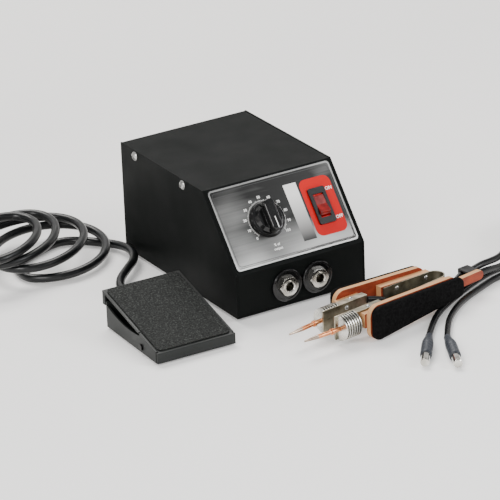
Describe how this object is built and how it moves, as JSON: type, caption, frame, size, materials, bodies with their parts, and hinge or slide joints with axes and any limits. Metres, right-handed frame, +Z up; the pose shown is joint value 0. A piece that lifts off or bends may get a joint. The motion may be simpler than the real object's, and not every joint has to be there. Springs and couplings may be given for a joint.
{
  "type": "spot welder",
  "caption": "Bench resistance soldering set: sloped power unit, foot switch on a cord, and a two-electrode tweezer handpiece with plug-ended leads.",
  "frame": {"origin": "on the bench top, under the middle of the power unit", "axes": "+X to the right along the power unit's front, -Y towards its front, +Z up"},
  "size_m": [0.5724, 0.5554, 0.112],
  "materials": {
    "case_paint": "fine-texture black powder coat",
    "pedal_paint": "dark grey powder coat",
    "plate_aluminium": "brushed, printed border and fields",
    "steel": "zinc plated",
    "rubber": "matt",
    "foam": "closed-cell foam, matt",
    "black_plastic": "moulded, gloss",
    "rocker_red": "translucent red",
    "nickel": "bright nickel plate",
    "insulator": "moulded phenolic, satin",
    "core_steel": "varnished laminations",
    "winding": "taped copper winding",
    "copper": "bright copper",
    "board_green": "solder-masked board",
    "grit": "speckled grit",
    "cord_vinyl": "black vinyl, satin",
    "sleeve_grey": "heat-shrunk tube, slate grey",
    "phenolic": "laminated board, tan edges and red-brown faces",
    "olive_nickel": "heat-darkened spring strip",
    "fin_aluminium": "bright turned fins",
    "tip_alloy": "bright tapered tip"
  },
  "bodies": {
    "base": {"case_base": "case_paint", "case_cover": "case_paint", "case_screws": "steel", "control_board": "board_green", "control_body": "steel", "control_nut": "nickel", "far_lead": "cord_vinyl", "far_lead_coil": "cord_vinyl", "far_lead_plug": "nickel", "far_lead_sleeve": "sleeve_grey", "foot_base": "pedal_paint", "foot_cord": "cord_vinyl", "foot_cord_coil": "cord_vinyl", "foot_cord_gland": "rubber", "foot_cord_plug": "black_plastic", "foot_switch_body": "insulator", "foot_switch_socket": "black_plastic", "fuse_holder": "black_plastic", "lead_clamp": "steel", "lead_tails": "cord_vinyl", "mains_inlet": "black_plastic", "name_plate": "plate_aluminium", "near_blocks": "phenolic", "near_board": "phenolic", "near_electrode": "copper", "near_electrode_plate": "olive_nickel", "near_electrode_tip": "tip_alloy", "near_foam": "foam", "near_heat_sink": "fin_aluminium", "near_lead": "cord_vinyl", "near_lead_coil": "cord_vinyl", "near_lead_plug": "nickel", "near_lead_sleeve": "sleeve_grey", "near_screws": "steel", "pivot_pin": "steel", "return_spring": "steel", "rocker_housing": "black_plastic", "rubber_feet": "rubber", "secondary_straps": "copper", "socket_bushings": "nickel", "socket_nuts": "nickel", "socket_washers": "insulator", "squeeze_spring": "olive_nickel", "transformer_bolts": "steel", "transformer_core": "core_steel", "transformer_winding": "winding"},
    "knob": {"control_knob": "black_plastic", "control_shaft": "steel"},
    "rocker": {"rocker": "rocker_red"},
    "treadle": {"treadle": "pedal_paint", "treadle_pad": "grit"},
    "plunger": {"foot_switch_plunger": "steel"},
    "far_handle": {"far_board": "phenolic", "far_foam": "foam", "far_blocks": "phenolic", "far_electrode_plate": "olive_nickel", "far_heat_sink": "fin_aluminium", "far_electrode": "copper", "far_electrode_tip": "tip_alloy", "far_screws": "steel"}
  },
  "joints": [
    {"name": "knob_turn", "type": "hinge", "parent": "base", "child": "knob", "pos_m": [-0.0178, -0.07535, 0.08026], "axis": [0, -0.7729, 0.6345], "range_deg": [-150, 150]},
    {"name": "rocker_tilt", "type": "hinge", "parent": "base", "child": "rocker", "pos_m": [0.0414, -0.07236, 0.07665], "axis": [1, 0, 0], "range_deg": [0, 20]},
    {"name": "treadle_press", "type": "hinge", "parent": "base", "child": "treadle", "pos_m": [-0.13585, -0.11152, 0.007], "axis": [-0.9994, 0.0349, 0], "range_deg": [0, 4], "stiffness_Nm_per_rad": 3, "springref_deg": -5.73, "deforming": ["return_spring"]},
    {"name": "plunger_slide", "type": "slide", "parent": "base", "child": "plunger", "axis": [0, 0, -1], "range_m": [0, 0.0031]},
    {"name": "squeeze", "type": "hinge", "parent": "base", "child": "far_handle", "pos_m": [0.10413, -0.16873, 0.017], "axis": [0, 0, 1], "range_deg": [0, 6.2], "stiffness_Nm_per_rad": 2, "springref_deg": -2.86, "deforming": ["squeeze_spring", "lead_tails"]}
  ],
  "couplings": [
    {"joint": "plunger_slide", "follows": "treadle_press", "m_per_rad": 0.0435}
  ]
}
